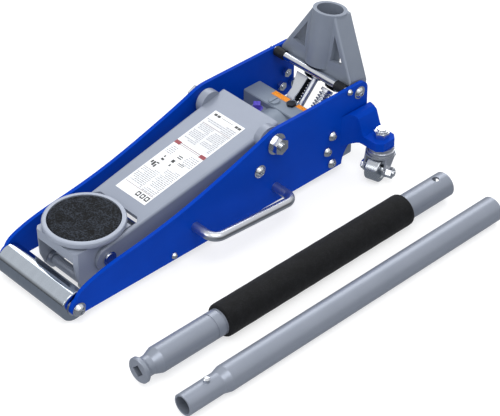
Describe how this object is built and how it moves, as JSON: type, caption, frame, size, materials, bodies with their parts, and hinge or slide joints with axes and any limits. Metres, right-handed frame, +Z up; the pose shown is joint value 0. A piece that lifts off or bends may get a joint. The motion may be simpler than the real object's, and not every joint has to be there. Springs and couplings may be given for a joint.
{
  "type": "hydraulic trolley jack",
  "caption": "Low-profile hydraulic trolley jack with a lifting arm, swivel saddle, levelling links, pump socket and swivel casters, with its two-piece handle laid beside it.",
  "frame": {"origin": "on the floor, in the middle of the footprint of the jack and its two handle pieces", "axes": "+X from the handle socket towards the saddle and front roller, +Y towards the jack's left side, where the carry handle is, +Z up"},
  "size_m": [0.4994, 0.408, 0.1917],
  "materials": {
    "blue_coat": "satin powder coat",
    "unit_grey": "satin paint over casting",
    "zinc": "bright zinc plate",
    "zinc_bar": "pale zinc plate",
    "zinc_strip": "bright zinc plate",
    "roller_chrome": "polished",
    "rod_chrome": "polished",
    "ram_chrome": "polished",
    "sleeve_rubber": "matte",
    "plug_plastic": "gloss",
    "label_orange": "printed film",
    "label_white": "printed film",
    "arm_grey": "satin paint",
    "saddle_grey": "satin paint",
    "socket_grey": "satin paint over casting",
    "pad_rubber": "matte, granular",
    "dark_steel": "dark oiled steel",
    "spring_steel": "bright wire",
    "wheel_steel": "turned steel",
    "tube_paint": "silver-grey paint",
    "grip_foam": "matte foam"
  },
  "bodies": {
    "chassis": {"side_plate_left": "blue_coat", "side_plate_right": "blue_coat", "caster_bracket_left": "blue_coat", "caster_bracket_right": "blue_coat", "bracket_nuts": "zinc", "front_axle": "zinc", "axle_screws": "zinc", "roller_washers": "zinc", "tie_rod": "zinc", "stop_rod": "rod_chrome", "small_screws": "zinc", "rod_sleeves": "sleeve_rubber", "carry_handle": "zinc_bar", "pump_block": "unit_grey", "reservoir": "unit_grey", "gland_nut": "zinc", "slotted_plug": "unit_grey", "hex_plug": "dark_steel", "square_plug": "plug_plastic", "unit_labels": "label_orange", "guide_strip": "zinc_strip", "unit_screws": "zinc", "link_bolts": "zinc", "arm_bolts": "zinc", "arm_washers": "zinc", "socket_bolts": "zinc", "caster_races": "zinc_strip", "caster_nuts": "zinc"},
    "front_roller": {"front_roller": "roller_chrome"},
    "lift_arm": {"lift_arm": "arm_grey", "arm_label": "label_white", "ram_lever": "arm_grey", "ram_pin": "zinc", "saddle_pin": "zinc"},
    "saddle_bracket": {"saddle_bracket": "saddle_grey", "link_pin": "saddle_grey"},
    "saddle": {"saddle_cup": "saddle_grey", "saddle_pad": "pad_rubber"},
    "level_link_left": {"level_link_left": "zinc_bar"},
    "level_link_right": {"level_link_right": "zinc_bar"},
    "ram": {"ram": "ram_chrome"},
    "handle_socket": {"handle_socket": "socket_grey", "cam_rollers": "dark_steel", "socket_screw": "zinc"},
    "release_drive": {"release_drive": "zinc"},
    "release_valve": {"release_valve": "zinc_strip"},
    "plunger_left": {"plunger_left": "zinc_strip", "plunger_spring_left": "spring_steel"},
    "plunger_right": {"plunger_right": "dark_steel", "plunger_spring_right": "dark_steel"},
    "caster_left": {"caster_fork_left": "zinc_strip", "caster_axle_left": "zinc"},
    "caster_right": {"caster_fork_right": "zinc_strip", "caster_axle_right": "zinc"},
    "caster_wheel_left": {"caster_wheel_left": "wheel_steel"},
    "caster_wheel_right": {"caster_wheel_right": "wheel_steel"},
    "lower_handle": {"lower_handle": "tube_paint", "foam_grip": "grip_foam"},
    "upper_handle": {"upper_handle": "tube_paint"},
    "spring_button": {"spring_button": "zinc"}
  },
  "joints": [
    {"name": "roller_spin", "type": "hinge", "parent": "chassis", "child": "front_roller", "pos_m": [0.2306, -0.0715, 0.0191], "axis": [0, 1, 0], "continuous": true},
    {"name": "arm_lift", "type": "hinge", "parent": "chassis", "child": "lift_arm", "pos_m": [-0.0734, -0.0715, 0.098], "axis": [0, -1, 0], "range_deg": [0, 68]},
    {"name": "saddle_level", "type": "hinge", "parent": "lift_arm", "child": "saddle_bracket", "pos_m": [0.1641, -0.0715, 0.041], "axis": [0, -1, 0], "range_deg": [-68.1, 0.1]},
    {"name": "saddle_swivel", "type": "hinge", "parent": "saddle_bracket", "child": "saddle", "pos_m": [0.1649, -0.0715, 0.06], "axis": [0, 0, 1], "continuous": true},
    {"name": "link_left_swing", "type": "hinge", "parent": "chassis", "child": "level_link_left", "pos_m": [-0.0474, -0.0425, 0.07], "axis": [0, -1, 0], "range_deg": [-0.1, 68.1]},
    {"name": "link_right_swing", "type": "hinge", "parent": "chassis", "child": "level_link_right", "pos_m": [-0.0474, -0.1005, 0.07], "axis": [0, -1, 0], "range_deg": [-0.1, 68.1]},
    {"name": "ram_stroke", "type": "slide", "parent": "chassis", "child": "ram", "axis": [1, 0, 0], "range_m": [-0.0002, 0.06293]},
    {"name": "socket_pump", "type": "hinge", "parent": "chassis", "child": "handle_socket", "pos_m": [-0.2144, -0.0715, 0.105], "axis": [0, -1, 0], "range_deg": [0, 50], "stiffness_Nm_per_rad": 1.5, "springref_deg": -22.92},
    {"name": "plunger_left_stroke", "type": "slide", "parent": "chassis", "child": "plunger_left", "axis": [0.7071, 0, -0.7071], "range_m": [-0.0001, 0.0084]},
    {"name": "plunger_right_stroke", "type": "slide", "parent": "chassis", "child": "plunger_right", "axis": [0.7071, 0, -0.7071], "range_m": [-0.0001, 0.0084]},
    {"name": "release_turn", "type": "hinge", "parent": "handle_socket", "child": "release_drive", "pos_m": [-0.21774, -0.0715, 0.12472], "axis": [-0.1668, 0, 0.986], "range_deg": [0, 180]},
    {"name": "valve_turn", "type": "hinge", "parent": "chassis", "child": "release_valve", "pos_m": [-0.1804, -0.0715, 0.0686], "axis": [-0.6826, 0, 0.7308], "range_deg": [-0.1, 180.1]},
    {"name": "caster_left_swivel", "type": "hinge", "parent": "chassis", "child": "caster_left", "pos_m": [-0.2179, 0.0325, 0.04], "axis": [0, 0, 1], "continuous": true},
    {"name": "caster_right_swivel", "type": "hinge", "parent": "chassis", "child": "caster_right", "pos_m": [-0.2179, -0.1755, 0.04], "axis": [0, 0, 1], "continuous": true},
    {"name": "caster_left_spin", "type": "hinge", "parent": "caster_left", "child": "caster_wheel_left", "pos_m": [-0.20733, 0.03553, 0.016], "axis": [-0.2756, 0.9613, 0], "continuous": true},
    {"name": "caster_right_spin", "type": "hinge", "parent": "caster_right", "child": "caster_wheel_right", "pos_m": [-0.20733, -0.17853, 0.016], "axis": [-0.2756, -0.9613, 0], "continuous": true},
    {"name": "lower_handle_lift", "type": "slide", "parent": "chassis", "child": "lower_handle", "axis": [0, 0, 1], "range_m": [0, 0.2]},
    {"name": "upper_handle_lift", "type": "slide", "parent": "chassis", "child": "upper_handle", "axis": [0, 0, 1], "range_m": [0, 0.2]},
    {"name": "button_press", "type": "slide", "parent": "upper_handle", "child": "spring_button", "axis": [0, 0, -1], "range_m": [0, 0.0029], "stiffness_N_per_m": 2000, "springref_m": -0.0008}
  ],
  "couplings": [
    {"joint": "saddle_level", "follows": "arm_lift", "ratio": -1},
    {"joint": "link_left_swing", "follows": "arm_lift", "ratio": 1},
    {"joint": "link_right_swing", "follows": "arm_lift", "ratio": 1},
    {"joint": "ram_stroke", "follows": "arm_lift", "m_per_rad": 0.052771},
    {"joint": "plunger_left_stroke", "follows": "socket_pump", "m_per_rad": 0.009397},
    {"joint": "plunger_right_stroke", "follows": "socket_pump", "m_per_rad": 0.009397},
    {"joint": "valve_turn", "follows": "release_turn", "ratio": 1}
  ]
}
